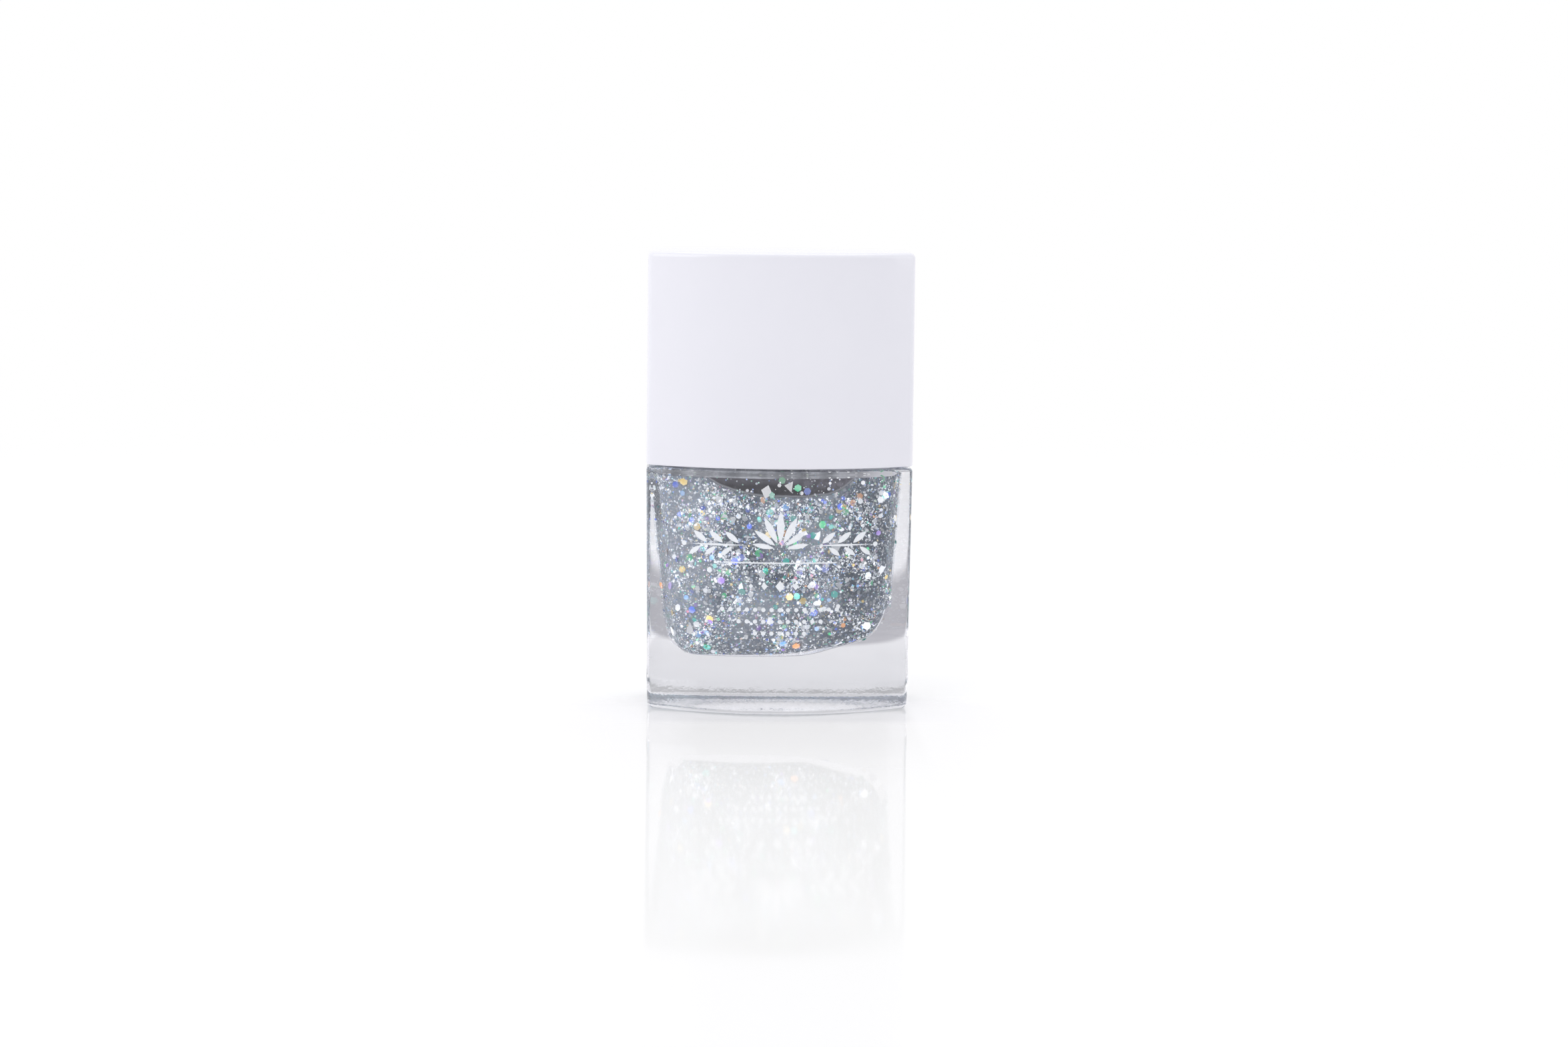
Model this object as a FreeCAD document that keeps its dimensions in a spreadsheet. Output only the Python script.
import FreeCAD, Part
import os
import math
import Sketcher

# Nail polish bottle, 10 ml: rectangular glass with bowed front and back, tall
# plain cap, brush and sealing liner. Millimetres, +Z up, origin at the middle
# of the base, -Y is the printed front and +X is right.

V = FreeCAD.Vector
doc = FreeCAD.newDocument("nail_polish_bottle")
sheet = doc.addObject("Spreadsheet::Sheet", "Sizes")
sheet.Label = "Sizes"

# alias, value, note
SIZES = [
    # glass body
    ("glass_half_w", 18.0, "half width at the shoulder"),
    ("glass_apex", 10.8, "half depth at the middle of the bowed front"),
    ("glass_side", 5.6, "half depth where the bow would meet the flat side"),
    ("glass_corner_r", 1.5, "rounding of the four upright corners"),
    ("glass_h", 33.0, "height of the shoulder face"),
    ("glass_draft", 0.434, "draft of the glass, degrees, narrower at the base"),
    ("heel_r", 0.8, "rounding where the walls meet the base"),
    ("shoulder_r", 0.45, "rounding of the shoulder edge"),
    ("pushup_half_x", 10.4, "base recess half width"),
    ("pushup_half_y", 4.2, "base recess half depth"),
    ("pushup_rise", 0.6, "base recess height"),
    ("pushup_r", 0.45, "rounding inside the base recess"),
    # neck
    ("rim_z", 44.5, "top of the neck"),
    ("neck_sink", 1.0, "neck solid starts this far below the shoulder"),
    ("neck_r", 5.7, "neck radius between the threads"),
    ("crest_r", 6.38, "neck thread crest radius"),
    ("collar_r", 6.25, "collar under the thread, radius"),
    ("collar_h", 1.3, "collar height above the shoulder"),
    ("collar_slope_h", 0.6, "height of the cone above the collar"),
    ("rim_r", 0.5, "rounding of the rim"),
    ("pitch", 2.117, "thread pitch, 12 to the inch"),
    ("turns_h", 3.4, "axial run of the thread"),
    ("thread_z", 38.3, "start of the neck thread"),
    ("thread_sink", 0.25, "depth of a thread ridge sunk in its wall"),
    ("bore_r", 3.8, "neck bore radius"),
    ("bore_flare", 0.5, "widening of the bore at the cavity"),
    ("bore_flare_h", 0.8, "height of that widening above the ceiling"),
    ("rim_flare", 0.35, "widening of the bore at the rim, and its depth"),
    ("bore_over", 0.6, "bore cut runs on this far at both ends"),
    ("bore_lap", 0.02, "bore cone ends lie this far past the faces"),
    # cavity
    ("ceiling_z", 32.1, "underside of the shoulder"),
    ("floor_z", 7.3, "lowest part of the cavity floor"),
    ("fill_gap", 0.03, "gap drawn between the filling and the glass"),
    # filling
    ("pocket_r", 10.95, "air pocket radius under the ceiling"),
    ("pocket_d", 3.9, "air pocket depth at its middle"),
    ("pocket_y", -3.0, "air pocket centre, towards the front wall"),
    ("brush_room", 0.06, "room round the brush inside the filling"),
    ("brush_room_over", 1.0, "brush room runs on this far above the ceiling"),
    ("ball_r", 1.6, "mixing ball radius"),
    ("ball_a_x", -6.9, "left ball"),
    ("ball_a_y", 1.3, "left ball"),
    ("ball_b_x", -3.2, "right ball"),
    ("ball_b_y", -1.1, "right ball"),
    # print
    ("ink_gap", 0.01, "gap drawn under the ink"),
    ("ink_t", 0.06, "ink thickness"),
    ("ink_low", 9.0, "bottom of the printed zone"),
    ("ink_high", 29.0, "top of the printed zone"),
    # over-cap
    ("cap_z", 33.3, "lower edge of the cap"),
    ("cap_h", 28.7, "height of the cap"),
    ("cap_draft", 0.2, "draft of the cap, degrees, narrower at the top"),
    ("cap_wall", 1.3, "cap wall"),
    ("cap_side_share", 0.56, "part of the wall taken off the flat side's half depth"),
    ("cap_corner_less", 0.5, "hollow corners are this much tighter"),
    ("cap_top", 1.8, "cap roof thickness"),
    ("cap_top_r", 0.8, "rounding of the top edge"),
    ("cap_foot_r", 0.2, "rounding of the lower edge"),
    ("sleeve_in_r", 8.32, "gripping sleeve bore radius"),
    ("sleeve_out_r", 9.25, "gripping sleeve outer radius"),
    ("sleeve_low", 3.0, "sleeve starts this far above the cap's lower edge"),
    ("roof_sink", 0.3, "sleeve and webs run this far into the roof"),
    ("web_t", 1.0, "web thickness"),
    ("web_x", 8.75, "inner end of a web, within the sleeve wall"),
    ("web_y", 3.4, "web centre, front and back of the axis"),
    ("web_lift", 2.0, "webs start this far above the sleeve's lower edge"),
    ("web_sink", 0.5, "webs run this far into the end walls"),
    # inner cap
    ("inner_low", 35.0, "lower edge of the inner cap"),
    ("liner_t", 1.0, "sealing liner thickness"),
    ("inner_plate", 1.6, "inner cap top plate"),
    ("inner_root_r", 7.0, "inner cap thread root radius"),
    ("inner_crest_r", 6.45, "inner cap thread crest radius"),
    ("inner_out_r", 8.0, "inner cap outside radius"),
    ("inner_bevel", 0.5, "bevel of the inner cap's top edge"),
    ("rib_h", 0.28, "gripping rib height"),
    ("rib_w", 0.9, "gripping rib width"),
    ("rib_top_share", 0.5, "rib width at its top as a share of rib_w"),
    ("rib_sink", 0.3, "rib depth sunk in the wall"),
    ("rib_low", 0.8, "ribs start this far above the lower edge"),
    ("rib_less", 2.0, "ribs are this much shorter than the inner cap"),
    ("rib_count", 16, "gripping ribs"),
    ("socket_r", 3.4, "stem socket outside radius"),
    ("socket_taper", 0.15, "socket radius lost at its top"),
    ("socket_h", 6.0, "stem socket height above the plate"),
    ("inner_thread_z", 39.55, "start of the inner cap thread"),
    # liner
    ("liner_out_r", 6.3, "liner outside radius"),
    ("liner_in_r", 2.12, "liner hole radius"),
    ("liner_edge_r", 0.15, "rounding of the liner's outer edges"),
    # stem
    ("stem_r", 2.0, "stem radius at the liner"),
    ("stem_taper_d", 3.0, "taper starts this far below the rim"),
    ("stem_tip_r", 1.62, "stem radius at its lower end"),
    ("stem_bevel", 0.1, "bevel of the lower end, across"),
    ("stem_bevel_h", 0.25, "bevel of the lower end, along"),
    ("stem_low", 24.0, "lower end of the stem"),
    ("spigot_r", 1.7, "spigot radius inside the socket"),
    ("spigot_h", 6.2, "spigot height above the liner"),
    ("spigot_bevel", 0.4, "bevel of the spigot's top"),
    ("tuft_hole_r", 1.27, "tuft hole radius in the stem"),
    ("tuft_hole_d", 4.6, "tuft hole depth"),
    ("fit_gap", 0.02, "gap between parts pressed together"),
    # bristles and staple
    ("tuft_r", 1.22, "bristle tuft radius"),
    ("tuft_low", 10.2, "tip of the bristles"),
    ("tuft_tip_r", 0.95, "bristle tuft radius near the tip"),
    ("tuft_end_share", 0.6, "flat end radius as a share of tuft_tip_r"),
    ("tuft_tip_h", 0.5, "height of the tip cone"),
    ("tuft_taper_h", 4.0, "the tuft has its full radius from this height"),
    ("tuft_bevel", 0.3, "bevel of the tuft's upper end"),
    ("tuft_gap", 0.08, "gap above the tuft in its hole"),
    ("staple_w", 2.3, "staple length"),
    ("staple_t", 0.42, "staple thickness"),
    ("staple_h", 0.9, "height of the staple's top above the slot floor"),
    ("staple_bar", 0.35, "width of the staple's legs and bar"),
    ("staple_r", 0.2, "rounding of the staple's top corners"),
    ("staple_lift", 0.05, "staple legs end this far above the slot floor"),
    ("slot_room", 0.03, "room on each side of the staple"),
    ("slot_extra", 0.25, "slot depth beyond the staple height"),
    ("slot_over", 0.5, "slot cut runs on this far above the tuft"),
]
for row, (alias, value, note) in enumerate(SIZES, start=1):
    sheet.set("A%d" % row, note)
    sheet.set("B%d" % row, str(value))
    sheet.setAlias("B%d" % row, alias)
doc.recompute()


# ---------------------------------------------------------------- live sizes
class Size:
    """A size: its number now and the expression that keeps it live."""

    def __init__(self, val, txt):
        self.val = float(val)
        self.txt = txt

    def _join(self, val, sign, other):
        return Size(val, "(%s %s %s)" % (self.txt, sign, other.txt))

    def __add__(self, other):
        other = sized(other)
        return self._join(self.val + other.val, "+", other)

    def __sub__(self, other):
        other = sized(other)
        return self._join(self.val - other.val, "-", other)

    def __mul__(self, other):
        other = sized(other)
        return self._join(self.val * other.val, "*", other)

    def __truediv__(self, other):
        other = sized(other)
        return self._join(self.val / other.val, "/", other)

    def __neg__(self):
        return Size(-self.val, "(0 - %s)" % self.txt)


def sized(value):
    """A Size as it is, or a plain number as a Size."""
    return value if isinstance(value, Size) else Size(value, repr(float(value)))


class SheetSizes:
    """Gives each alias of the spreadsheet as a Size."""

    def __getattr__(self, alias):
        return Size(sheet.get(alias), "Sizes." + alias)


dim = SheetSizes()


def drive(obj, **props):
    """Sets properties and ties them to their expressions."""
    for prop, size in props.items():
        setattr(obj, prop, size.val)
        obj.setExpression(prop, size.txt)


def place(obj, prop, **offsets):
    """Sets a placement property from live x, y and z offsets; any left out are 0."""
    base = V(*[offsets[axis].val if axis in offsets else 0 for axis in "xyz"])
    setattr(obj, prop, FreeCAD.Placement(base, FreeCAD.Rotation()))
    for axis, offset in offsets.items():
        obj.setExpression("%s.Base.%s" % (prop, axis), offset.txt)


def need(flag, words):
    if not flag:
        raise RuntimeError(words)


def arc_radius(half_chord, rise):
    return (half_chord * half_chord + rise * rise) / (rise * 2)


# ---------------------------------------------------------------- sketches
def new_body(label, lift=None):
    body = doc.addObject("PartDesign::Body", label)
    body.Label = label
    if lift is not None:
        place(body, "Placement", z=lift)
    return body


def attach(obj, body, role="XY_Plane"):
    plane = [f for f in body.Origin.OriginFeatures if f.Role == role][0]
    obj.AttachmentSupport = (plane, [""])
    obj.MapMode = "FlatFace"


def new_sketch(body, name, role="XY_Plane", offset=None):
    """Sketch on an origin plane; the normal of XZ_Plane points to -Y."""
    sk = body.newObject("Sketcher::SketchObject", name)
    attach(sk, body, role)
    if offset is not None:
        place(sk, "AttachmentOffset", z=offset)
    return sk


def dimension(sk, kind, args, size, name):
    """Adds a dimension and ties it to its expression."""
    index = sk.addConstraint(Sketcher.Constraint(kind, *(list(args) + [size.val])))
    sk.renameConstraint(index, name)
    sk.setExpression("Constraints." + name, size.txt)


def locate(sk, geo, pos, x, y, tag):
    """Fixes one point of a sketch from the sketch origin."""
    for axis, size, own_axis in (("X", x, -2), ("Y", y, -1)):
        if abs(size.val) < 1e-9:
            sk.addConstraint(Sketcher.Constraint("PointOnObject", geo, pos, own_axis))
        else:
            name = "%s_%s" % (axis.lower(), tag)
            dimension(sk, "Distance" + axis, (-1, 1, geo, pos), size, name)


def polygon(sk, points, tag="p"):
    """Closed chain of straight lines, every corner dimensioned."""
    points = [(sized(x), sized(y)) for x, y in points]
    lines = []
    for start, end in zip(points, points[1:] + points[:1]):
        line = Part.LineSegment(V(start[0].val, start[1].val, 0), V(end[0].val, end[1].val, 0))
        lines.append(sk.addGeometry(line, False))
    for line, following in zip(lines, lines[1:] + lines[:1]):
        sk.addConstraint(Sketcher.Constraint("Coincident", line, 2, following, 1))
    for i, line in enumerate(lines):
        locate(sk, line, 1, points[i][0], points[i][1], "%s%d" % (tag, i))


def disc(sk, x, y, radius, tag):
    x, y, radius = sized(x), sized(y), sized(radius)
    circle = Part.Circle(V(x.val, y.val, 0), V(0, 0, 1), radius.val)
    geo = sk.addGeometry(circle, False)
    locate(sk, geo, 3, x, y, "c_" + tag)
    dimension(sk, "Radius", (geo,), radius, "r_" + tag)


def barrel(sk, x_left, x_right, apex, side, corner_r):
    """Rectangle with bowed front and back and four rounded corners.
    apex: half depth at the middle; side: half depth where the bow would meet
    the flat side."""
    half_w = (x_right - x_left) / 2
    x_mid = (x_right + x_left) / 2
    bow_r = arc_radius(half_w, apex - side)
    bow_y = bow_r - apex
    # corner arc centres lie at x_mid +- corner_x and +- corner_y
    corner_x = half_w.val - corner_r.val
    reach = math.sqrt((bow_r.val - corner_r.val) ** 2 - corner_x ** 2)
    corner_y = bow_y.val - reach
    angle = math.atan2(reach, corner_x)
    xm, hw, bow, rad, pi = x_mid.val, half_w.val, bow_r.val, corner_r.val, math.pi

    def arc(x, y, radius, start, end):
        circle = Part.Circle(V(x, y, 0), V(0, 0, 1), radius)
        return sk.addGeometry(Part.ArcOfCircle(circle, start, end), False)

    def upright(x, y):
        return sk.addGeometry(Part.LineSegment(V(x, y, 0), V(x, -y, 0)), False)

    front = arc(xm, bow_y.val, bow, pi + angle, 2 * pi - angle)
    front_right = arc(xm + corner_x, corner_y, rad, -angle, 0)
    right = upright(xm + hw, corner_y)
    back_right = arc(xm + corner_x, -corner_y, rad, 0, angle)
    back = arc(xm, -bow_y.val, bow, angle, pi - angle)
    back_left = arc(xm - corner_x, -corner_y, rad, pi - angle, pi)
    left = upright(xm - hw, -corner_y)
    front_left = arc(xm - corner_x, corner_y, rad, pi, pi + angle)
    ring = [front, front_right, right, back_right, back, back_left, left, front_left]
    for geo, following in zip(ring, ring[1:] + ring[:1]):
        sk.addConstraint(Sketcher.Constraint("Tangent", geo, 2, following, 1))
    for geo in (right, left):
        sk.addConstraint(Sketcher.Constraint("Symmetric", geo, 1, geo, 2, -1))
    for geo in (back_right, back_left, front_left):
        sk.addConstraint(Sketcher.Constraint("Equal", front_right, geo))
    sk.addConstraint(Sketcher.Constraint("Equal", front, back))
    dimension(sk, "Radius", (front_right,), corner_r, "corner")
    dimension(sk, "Radius", (front,), bow_r, "bow")
    locate(sk, front, 3, x_mid, bow_y, "front")
    dimension(sk, "DistanceX", (-1, 1, right, 1), x_right, "right")
    dimension(sk, "DistanceX", (-1, 1, left, 1), x_left, "left")


def bottle_outline(sk):
    """Outline shared by the glass at its shoulder and the cap at its foot."""
    half_w = dim.glass_half_w
    barrel(sk, -half_w, half_w, dim.glass_apex, dim.glass_side, dim.glass_corner_r)


# ---------------------------------------------------------------- features
def spin(body, sk, name, kind="Revolution"):
    """Full turn about the sketch's vertical axis."""
    f = body.newObject("PartDesign::" + kind, name)
    f.Profile = sk
    f.ReferenceAxis = (sk, ["V_Axis"])
    f.Angle = 360
    sk.Visibility = False
    doc.recompute()
    return f


def pad(body, sk, length, name, taper=None, back=False, kind="Pad"):
    """Pads run along the sketch normal, pockets against it; back swaps that."""
    f = body.newObject("PartDesign::" + kind, name)
    f.Profile = sk
    drive(f, Length=length)
    if taper is not None:
        drive(f, TaperAngle=taper)
    f.Reversed = back
    sk.Visibility = False
    doc.recompute()
    return f


def level(edge, z):
    box = edge.BoundBox
    return abs(box.ZMin - z) < 1e-4 and abs(box.ZMax - z) < 1e-4


def circle_radius(edge):
    curve = edge.Curve
    return curve.Radius if curve.TypeId == "Part::GeomCircle" else None


def rounding(body, base, chosen, radius, name):
    """Fillet on the edges of base for which chosen(edge) is true."""
    edges = base.Shape.Edges
    names = ["Edge%d" % i for i, edge in enumerate(edges, start=1) if chosen(edge)]
    need(names, "no edges for " + name)
    f = body.newObject("PartDesign::Fillet", name)
    f.Base = (base, names)
    drive(f, Radius=radius)
    base.Visibility = False
    doc.recompute()
    return f


def thread(body, name, sketch_name, radii, start_z, half_heights):
    """One ridge wound round the axis. radii and half_heights run from the
    sunk base through the root to the crest."""
    sk = new_sketch(body, sketch_name, "XZ_Plane")
    flank = list(zip(radii, half_heights))
    polygon(sk, [(radius, start_z - half) for radius, half in flank]
            + [(radius, start_z + half) for radius, half in flank[::-1]])
    f = body.newObject("PartDesign::AdditiveHelix", name)
    f.Profile = sk
    f.ReferenceAxis = (sk, ["V_Axis"])
    f.Mode = 0  # pitch and height
    drive(f, Pitch=dim.pitch, Height=dim.turns_h)
    sk.Visibility = False
    doc.recompute()
    return f


def sphere_cut(body, name, radius, **centre):
    f = body.newObject("PartDesign::SubtractiveSphere", name)
    drive(f, Radius=radius)
    attach(f, body)
    place(f, "AttachmentOffset", **centre)
    doc.recompute()
    return f


MIN_CUT = 0.5  # mm3, less than any cut here takes away


def need_cut(base, cut):
    """Stops the build when a cut misses its solid."""
    need(base.Shape.Volume - cut.Shape.Volume > MIN_CUT, cut.Name + " removes too little")


# ---------------------------------------------------------------- cavity and filling shape
# The cavity is uneven: its floor and lower right wall are thicker than the left.
# Columns: height on the table's own scale from floor to ceiling, x of the left
# wall, x of the right wall, half depth, half depth at the sides, corner rounding.
CAVITY_ROWS = [
    (0.0, -11.0, 3.1, 4.3, 2.9, 1.8),
    (1.0, -12.85, 7.1, 6.7, 3.9, 2.2),
    (2.6, -13.4, 11.7, 8.0, 4.4, 2.4),
    (5.4, -13.95, 13.65, 8.8, 4.6, 2.6),
    (9.4, -14.25, 14.1, 9.15, 4.75, 2.6),
    (15.0, -14.85, 14.5, 9.3, 4.8, 2.6),
    (24.8, -15.8, 15.1, 9.3, 4.8, 2.6),
]


def cavity_loft(body, kind, name, row_name, gap):
    """Loft through the cavity rows, drawn in by gap all round."""
    gap = sized(gap)
    rows = []
    rise = dim.ceiling_z - dim.floor_z
    last_z = CAVITY_ROWS[-1][0]
    for i, (z, *widths) in enumerate(CAVITY_ROWS, start=1):
        height = dim.floor_z + rise * (z / last_z)
        height = height - gap if i == len(CAVITY_ROWS) else height + gap
        sk = new_sketch(body, "%s%d" % (row_name, i), offset=height)
        x_left, x_right, apex, side, corner_r = [sized(width) for width in widths]
        barrel(sk, x_left + gap, x_right - gap, apex - gap, side - gap, corner_r)
        sk.Visibility = False
        rows.append(sk)
    f = body.newObject("PartDesign::" + kind, name)
    f.Profile = rows[0]
    f.Sections = rows[1:]
    f.Ruled = False
    f.Closed = False
    doc.recompute()
    return f


# ---------------------------------------------------------------- glass
NECK_THREAD_HALVES = (0.62, 0.55, 0.18)  # half heights at sunk base, root and crest


def make_glass():
    body = new_body("glass_bottle")
    sk = new_sketch(body, "GlassOutline", offset=dim.glass_h)
    bottle_outline(sk)
    block = pad(body, sk, dim.glass_h, "GlassBlock", taper=-dim.glass_draft, back=True)
    heel = rounding(body, block, lambda e: level(e, 0.0), dim.heel_r, "Heel")
    shoulder_z = dim.glass_h.val
    shoulder = rounding(body, heel, lambda e: level(e, shoulder_z), dim.shoulder_r,
                        "ShoulderEdge")

    # oval recess under the base that leaves a bearing ring
    sk = new_sketch(body, "PushUpOutline")
    half_x, half_y = dim.pushup_half_x, dim.pushup_half_y
    oval = Part.Ellipse(V(half_x.val, 0, 0), V(0, half_y.val, 0), V(0, 0, 0))
    geo = sk.addGeometry(oval, False)
    sk.exposeInternalGeometry(geo)  # adds the long axis, then the short axis
    sk.addConstraint(Sketcher.Constraint("Coincident", geo, 3, -1, 1))
    sk.addConstraint(Sketcher.Constraint("PointOnObject", geo + 1, 1, -1))
    dimension(sk, "Distance", (geo + 1,), half_x * 2, "oval_x")
    dimension(sk, "Distance", (geo + 2,), half_y * 2, "oval_y")
    pushup = pad(body, sk, dim.pushup_rise, "PushUp", back=True, kind="Pocket")
    need_cut(shoulder, pushup)
    recess_z = dim.pushup_rise.val
    rounding(body, pushup, lambda e: level(e, recess_z), dim.pushup_r, "PushUpRound")

    # neck outside
    sk = new_sketch(body, "NeckProfile", "XZ_Plane")
    rim_z = dim.rim_z
    neck_low = dim.glass_h - dim.neck_sink
    collar_z = dim.glass_h + dim.collar_h
    polygon(sk, [
        (0, neck_low),
        (dim.collar_r, neck_low),
        (dim.collar_r, collar_z),
        (dim.neck_r, collar_z + dim.collar_slope_h),
        (dim.neck_r, rim_z),
        (0, rim_z),
    ])
    neck = spin(body, sk, "Neck")
    rounding(body, neck, lambda e: level(e, rim_z.val) and circle_radius(e), dim.rim_r,
             "RimRound")
    radii = (dim.neck_r - dim.thread_sink, dim.neck_r, dim.crest_r)
    ridge = thread(body, "NeckThread", "ThreadProfile", radii, dim.thread_z,
                   NECK_THREAD_HALVES)

    cavity = cavity_loft(body, "SubtractiveLoft", "Cavity", "CavityRow", 0)
    need_cut(ridge, cavity)

    # neck bore, opened slightly at the cavity and at the rim
    sk = new_sketch(body, "BoreProfile", "XZ_Plane")
    bore_r, ceiling = dim.bore_r, dim.ceiling_z
    polygon(sk, [
        (0, ceiling - dim.bore_over),
        (bore_r + dim.bore_flare, ceiling - dim.bore_over),
        (bore_r + dim.bore_flare, ceiling + dim.bore_lap),
        (bore_r, ceiling + dim.bore_flare_h),
        (bore_r, rim_z - dim.rim_flare),
        (bore_r + dim.rim_flare, rim_z + dim.bore_lap),
        (bore_r + dim.rim_flare, rim_z + dim.bore_over),
        (0, rim_z + dim.bore_over),
    ])
    need_cut(cavity, spin(body, sk, "Bore", kind="Groove"))
    return body


# ---------------------------------------------------------------- filling and mixing balls
# room tag, label of the ball, x, y
BALLS = (
    ("A", "mixing_ball_left", dim.ball_a_x, dim.ball_a_y),
    ("B", "mixing_ball_right", dim.ball_b_x, dim.ball_b_y),
)
BALL_Z = dim.floor_z + dim.ball_r + dim.fill_gap * 2


def make_polish():
    body = new_body("nail_polish")
    fill = cavity_loft(body, "AdditiveLoft", "Fill", "FillRow", dim.fill_gap)

    # air pocket below the neck: a shallow round bubble set towards the front wall
    bubble_r = arc_radius(dim.pocket_r, dim.pocket_d)
    bubble_z = dim.ceiling_z + bubble_r - dim.pocket_d
    air = sphere_cut(body, "AirPocket", bubble_r, y=dim.pocket_y, z=bubble_z)
    need_cut(fill, air)

    # room for the brush, never narrower further up, so the brush can be drawn out
    sk = new_sketch(body, "BrushRoomProfile", "XZ_Plane")
    room = dim.brush_room
    room_top = dim.ceiling_z + dim.brush_room_over
    polygon(sk, [
        (0, dim.tuft_low - room),
        (dim.tuft_r + room, dim.tuft_low - room),
        (dim.tuft_r + room, dim.stem_low - room),
        (dim.stem_r + room, dim.stem_low - room),
        (dim.stem_r + room, room_top),
        (0, room_top),
    ])
    last = spin(body, sk, "BrushRoom", kind="Groove")
    need_cut(air, last)

    for tag, _, x, y in BALLS:
        room_r = dim.ball_r + dim.fill_gap
        hole = sphere_cut(body, "BallRoom" + tag, room_r, x=x, y=y, z=BALL_Z)
        need_cut(last, hole)
        last = hole
    return body


def make_ball(label, x, y):
    ball = doc.addObject("Part::Sphere", label)
    ball.Label = label
    drive(ball, Radius=dim.ball_r)
    place(ball, "Placement", x=x, y=y, z=BALL_Z)
    return ball


# ---------------------------------------------------------------- printed ornament
# Drawn flat in x and z, then laid on the bowed front.
ORNAMENT_Z = 22.6
# fan of leaves: degrees from upright, outer radius, half width
FAN_NEAR = 0.9
FAN = (
    (0, 5.1, 0.50), (-27, 4.8, 0.45), (27, 4.8, 0.45), (-54, 4.3, 0.40), (54, 4.3, 0.40),
    (-80, 3.8, 0.33), (80, 3.8, 0.33),
)
# sprig on each side: x outwards from the middle, z above ORNAMENT_Z
TWIG = ((4.4, 0.5), (8.5, 0.66), (12.3, 0.5), (8.5, 0.34))
# leaf rows: x of each leaf, z, degrees from upright, length, half width
SPRIG_LEAVES = (
    ((5.6, 7.7, 9.8), 0.78, 50.0, 2.3, 0.38),
    ((6.5, 8.6, 10.7), 0.22, 128.0, 1.9, 0.32),
)
BERRY_X, BERRY_Z, BERRY_R = 12.85, 0.5, 0.32
LINE_HALF_W, LINE_LOW, LINE_HIGH = 7.6, 20.65, 20.83
# diamonds: x, half height
DIAMOND_Z = 17.6
DIAMOND_SHARE = 0.8  # half width over half height
DIAMONDS = ((0.0, 0.78), (-2.1, 0.52), (2.1, 0.52), (-3.9, 0.36), (3.9, 0.36))
# dot rows: z, number of dots
DOT_PITCH, DOT_R = 1.1, 0.29
DOT_ROWS = ((14.4, 15), (12.8, 11), (11.2, 7))
PRISM_LENGTH = 16.0  # reaches past the bowed front


def leaf(art, x, z, degrees, near, far, half_w):
    """Pointed leaf between two radii from a centre, along one direction."""
    angle = math.radians(degrees)
    along = V(math.sin(angle), math.cos(angle), 0)
    across = V(along.y, -along.x, 0)
    centre = V(x, z, 0)
    start = centre + along * near
    end = centre + along * far
    middle = (start + end) * 0.5
    art.addGeometry(Part.Arc(start, middle + across * half_w, end), False)
    art.addGeometry(Part.Arc(end, middle - across * half_w, start), False)


def draw_ornament(art):
    for degrees, far, half_w in FAN:
        leaf(art, 0.0, ORNAMENT_Z, degrees, FAN_NEAR, far, half_w)
    for side, letter in ((-1, "l"), (1, "r")):
        twig = [(side * x, ORNAMENT_Z + z) for x, z in TWIG]
        polygon(art, twig, "twig" + letter)
        for places, z, degrees, length, half_w in SPRIG_LEAVES:
            for x in places:
                leaf(art, side * x, ORNAMENT_Z + z, side * degrees, 0.0, length, half_w)
        disc(art, side * BERRY_X, ORNAMENT_Z + BERRY_Z, BERRY_R, "berry" + letter)
    polygon(art, [
        (-LINE_HALF_W, LINE_LOW), (LINE_HALF_W, LINE_LOW),
        (LINE_HALF_W, LINE_HIGH), (-LINE_HALF_W, LINE_HIGH),
    ], "under")
    for i, (x, half_h) in enumerate(DIAMONDS):
        half_w = half_h * DIAMOND_SHARE
        polygon(art, [
            (x - half_w, DIAMOND_Z), (x, DIAMOND_Z - half_h),
            (x + half_w, DIAMOND_Z), (x, DIAMOND_Z + half_h),
        ], "dia%d" % i)
    dots = [((i - (n - 1) / 2) * DOT_PITCH, z) for z, n in DOT_ROWS for i in range(n)]
    for i, (x, z) in enumerate(dots):
        disc(art, x, z, DOT_R, "d%d" % i)


def front_cone(name, out):
    """Cone that follows the drafted, bowed front at a distance out from it."""
    bow_r = arc_radius(dim.glass_half_w, dim.glass_apex - dim.glass_side)
    slope = Size(math.tan(math.radians(dim.glass_draft.val)), "tan(Sizes.glass_draft * 1 deg)")
    low, high = dim.ink_low, dim.ink_high
    cone = doc.addObject("Part::Cone", name)
    drive(cone,
          Radius1=bow_r - (dim.glass_h - low) * slope + out,
          Radius2=bow_r - (dim.glass_h - high) * slope + out,
          Height=high - low)
    place(cone, "Placement", y=bow_r - dim.glass_apex, z=low)
    return cone


def make_print():
    art = doc.addObject("Sketcher::SketchObject", "OrnamentArtwork")
    art.Placement = FreeCAD.Placement(V(0, 0, 0), FreeCAD.Rotation(V(1, 0, 0), 90))
    draw_ornament(art)
    doc.recompute()
    prism = doc.addObject("Part::Extrusion", "OrnamentPrism")
    prism.Base = art
    prism.DirMode = "Custom"
    prism.Dir = V(0, -1, 0)
    prism.LengthFwd = PRISM_LENGTH
    prism.Solid = True
    outer = front_cone("InkOuterCone", dim.ink_gap + dim.ink_t)
    inner = front_cone("InkInnerCone", dim.ink_gap)
    skin = doc.addObject("Part::Cut", "InkSkin")
    skin.Base = outer
    skin.Tool = inner
    ink = doc.addObject("Part::Common", "front_print")
    ink.Label = "front_print"
    ink.Base = prism
    ink.Tool = skin
    doc.recompute()
    return ink


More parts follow.
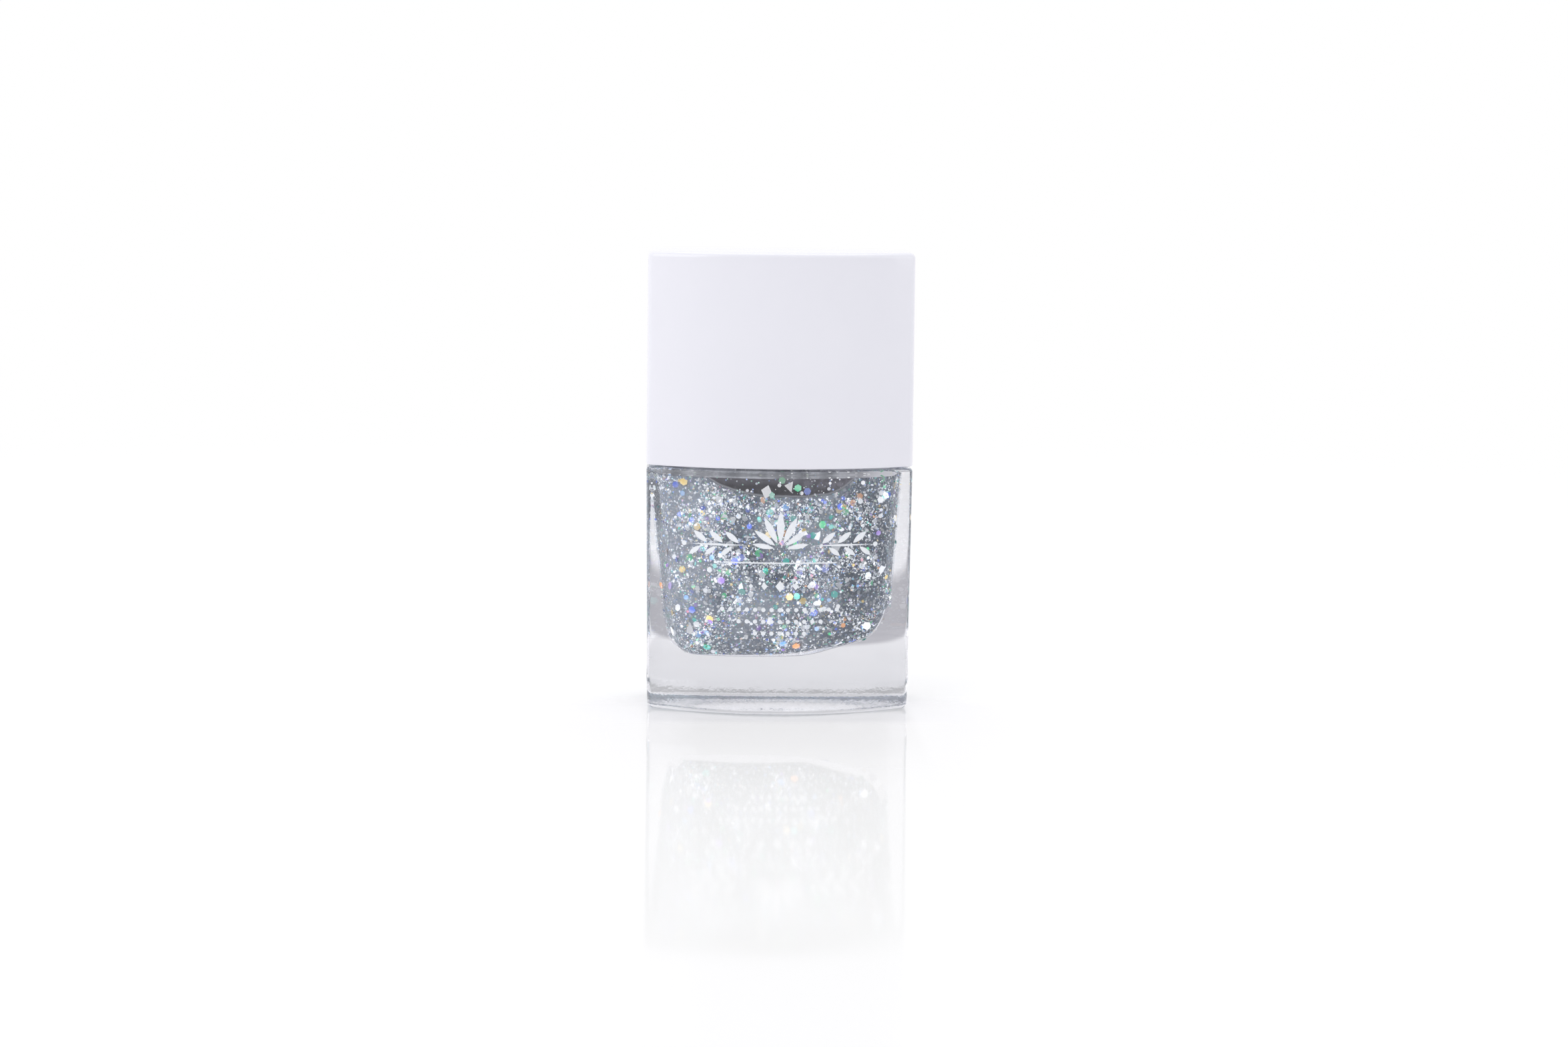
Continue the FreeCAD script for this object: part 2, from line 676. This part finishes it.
# ---------------------------------------------------------------- over-cap
def make_cap():
    body = new_body("over_cap", dim.cap_z)
    sk = new_sketch(body, "CapOutline")
    bottle_outline(sk)
    block = pad(body, sk, dim.cap_h, "CapBlock", taper=-dim.cap_draft)
    top_z = dim.cap_h.val
    top = rounding(body, block, lambda e: level(e, top_z), dim.cap_top_r, "CapTopRound")
    foot = rounding(body, top, lambda e: level(e, 0.0), dim.cap_foot_r, "CapFootRound")

    sk = new_sketch(body, "CapHollowOutline")
    wall = dim.cap_wall
    hollow_x = dim.glass_half_w - wall
    hollow_h = dim.cap_h - dim.cap_top
    barrel(sk, -hollow_x, hollow_x, dim.glass_apex - wall,
           dim.glass_side - wall * dim.cap_side_share,
           dim.glass_corner_r - dim.cap_corner_less)
    hollow = pad(body, sk, hollow_h, "CapHollow", taper=-dim.cap_draft, back=True,
                 kind="Pocket")
    need_cut(foot, hollow)

    # gripping sleeve for the inner cap, hanging from the roof
    sk = new_sketch(body, "SleeveOutline", offset=dim.sleeve_low)
    disc(sk, 0, 0, dim.sleeve_out_r, "out")
    disc(sk, 0, 0, dim.sleeve_in_r, "in")
    pad(body, sk, hollow_h - dim.sleeve_low + dim.roof_sink, "Sleeve")

    # four webs that tie the sleeve to the end walls
    web_low = dim.sleeve_low + dim.web_lift
    sk = new_sketch(body, "WebOutline", offset=web_low)
    half_t = dim.web_t / 2
    sides = [(side, row) for side in (-1, 1) for row in (-1, 1)]
    for i, (side, row) in enumerate(sides):
        x_in = dim.web_x * side
        x_out = (hollow_x + dim.web_sink) * side
        y = dim.web_y * row
        polygon(sk, [
            (x_in, y - half_t), (x_out, y - half_t),
            (x_out, y + half_t), (x_in, y + half_t),
        ], "w%d" % i)
    pad(body, sk, hollow_h - web_low + dim.roof_sink, "Webs")
    return body


# ---------------------------------------------------------------- inner cap
INNER_THREAD_HALVES = (0.60, 0.52, 0.16)  # half heights at sunk base, root and crest


def make_inner_cap():
    low = dim.inner_low
    body = new_body("inner_cap", low)
    under = dim.rim_z + dim.liner_t + dim.fit_gap - low  # underside of the top plate
    over = under + dim.inner_plate
    root_r, out_r = dim.inner_root_r, dim.inner_out_r
    socket_in_r = dim.spigot_r + dim.fit_gap
    socket_top = over + dim.socket_h
    sk = new_sketch(body, "InnerCapProfile", "XZ_Plane")
    polygon(sk, [
        (root_r, 0),
        (out_r, 0),
        (out_r, over - dim.inner_bevel),
        (out_r - dim.inner_bevel, over),
        (dim.socket_r, over),
        (dim.socket_r - dim.socket_taper, socket_top),
        (socket_in_r, socket_top),
        (socket_in_r, under),
        (root_r, under),
    ])
    spin(body, sk, "InnerCapTurned")
    radii = (root_r + dim.thread_sink, root_r, dim.inner_crest_r)
    thread(body, "InnerThread", "InnerThreadProfile", radii, dim.inner_thread_z - low,
           INNER_THREAD_HALVES)

    # gripping ribs
    sk = new_sketch(body, "RibOutline", offset=dim.rib_low)
    half_w = dim.rib_w / 2
    half_top = half_w * dim.rib_top_share
    polygon(sk, [
        (out_r - dim.rib_sink, -half_w),
        (out_r + dim.rib_h, -half_top),
        (out_r + dim.rib_h, half_top),
        (out_r - dim.rib_sink, half_w),
    ])
    rib = pad(body, sk, over - dim.rib_less, "Rib")
    ribs = body.newObject("PartDesign::PolarPattern", "Ribs")
    ribs.Originals = [rib]
    ribs.Axis = (sk, ["N_Axis"])
    ribs.Angle = 360
    ribs.Occurrences = int(dim.rib_count.val)
    ribs.setExpression("Occurrences", dim.rib_count.txt)
    body.Tip = ribs  # a new pattern does not become the tip by itself
    doc.recompute()
    return body


# ---------------------------------------------------------------- liner
def make_liner():
    body = new_body("sealing_liner", dim.rim_z)
    sk = new_sketch(body, "LinerOutline", offset=dim.fit_gap / 2)
    disc(sk, 0, 0, dim.liner_out_r, "out")
    disc(sk, 0, 0, dim.liner_in_r, "in")
    ring = pad(body, sk, dim.liner_t, "LinerDisc")
    out_r = dim.liner_out_r.val

    def outer_edge(edge):
        radius = circle_radius(edge)
        return radius and abs(radius - out_r) < 1e-6 and edge.BoundBox.ZLength < 1e-6

    rounding(body, ring, outer_edge, dim.liner_edge_r, "LinerEdge")
    return body


# ---------------------------------------------------------------- stem
def make_stem():
    body = new_body("brush_stem", dim.rim_z)
    low = dim.stem_low - dim.rim_z
    hole_top = low + dim.tuft_hole_d
    step = dim.liner_t + dim.fit_gap
    half_gap = dim.fit_gap / 2
    top = step + dim.spigot_h
    sk = new_sketch(body, "StemProfile", "XZ_Plane")
    polygon(sk, [
        (0, hole_top),
        (dim.tuft_hole_r, hole_top),
        (dim.tuft_hole_r, low),
        (dim.stem_tip_r - dim.stem_bevel, low),
        (dim.stem_tip_r, low + dim.stem_bevel_h),
        (dim.stem_r, -dim.stem_taper_d),
        (dim.stem_r, step - half_gap),
        (dim.spigot_r, step + half_gap),
        (dim.spigot_r, top - dim.spigot_bevel),
        (dim.spigot_r - dim.spigot_bevel, top),
        (0, top),
    ])
    spin(body, sk, "StemTurned")
    return body


# ---------------------------------------------------------------- bristles and staple
# Heights above the tip of the bristles.
TUFT_H = dim.stem_low + dim.tuft_hole_d - dim.tuft_gap - dim.tuft_low
SLOT_LOW = TUFT_H - dim.staple_h - dim.slot_extra


def make_bristles():
    body = new_body("brush_bristles", dim.tuft_low)
    sk = new_sketch(body, "TuftProfile", "XZ_Plane")
    polygon(sk, [
        (0, 0),
        (dim.tuft_tip_r * dim.tuft_end_share, 0),
        (dim.tuft_tip_r, dim.tuft_tip_h),
        (dim.tuft_r, dim.tuft_taper_h),
        (dim.tuft_r, TUFT_H - dim.tuft_bevel),
        (dim.tuft_r - dim.tuft_bevel, TUFT_H),
        (0, TUFT_H),
    ])
    turned = spin(body, sk, "TuftTurned")

    # slot that the staple sits in, cut from its back face to the front
    sk = new_sketch(body, "SlotOutline", "XZ_Plane",
                    offset=-(dim.staple_t / 2 + dim.slot_room))
    half_w = dim.staple_w / 2 + dim.slot_room
    slot_top = TUFT_H + dim.slot_over
    polygon(sk, [
        (-half_w, SLOT_LOW), (half_w, SLOT_LOW), (half_w, slot_top), (-half_w, slot_top),
    ])
    slot = pad(body, sk, dim.staple_t + dim.slot_room * 2, "StapleSlot", back=True,
               kind="Pocket")
    need_cut(turned, slot)
    return body


def make_staple():
    body = new_body("brush_staple", dim.tuft_low)
    sk = new_sketch(body, "StapleOutline", "XZ_Plane", offset=-(dim.staple_t / 2))
    half_w = dim.staple_w / 2
    bar = dim.staple_bar
    foot = SLOT_LOW + dim.staple_lift
    top = SLOT_LOW + dim.staple_h
    polygon(sk, [
        (-half_w, foot),
        (-half_w + bar, foot),
        (-half_w + bar, top - bar),
        (half_w - bar, top - bar),
        (half_w - bar, foot),
        (half_w, foot),
        (half_w, top),
        (-half_w, top),
    ])
    block = pad(body, sk, dim.staple_t, "StapleBar")
    # the two top corners: level edges that run front to back
    rounding(body, block, lambda e: level(e, top.val) and e.BoundBox.YLength > 0.3,
             dim.staple_r, "StapleRound")
    return body


# ---------------------------------------------------------------- build and export
pieces = [make_glass(), make_polish()]
pieces += [make_ball(label, x, y) for _, label, x, y in BALLS]
pieces += [make_print(), make_cap(), make_inner_cap(), make_liner(), make_stem()]
pieces += [make_bristles(), make_staple()]
doc.recompute()

faults = []
for obj in doc.Objects:
    if "Invalid" in obj.State or "Error" in obj.State:
        faults.append("%s: %s" % (obj.Name, obj.State))
for piece in pieces:
    if piece.Shape.isNull() or not piece.Shape.isValid():
        faults.append("%s: shape not valid" % piece.Label)
need(not faults, "; ".join(faults))

os.makedirs("parts", exist_ok=True)
for piece in pieces:
    piece.Shape.exportStep("parts/%s.step" % piece.Label)
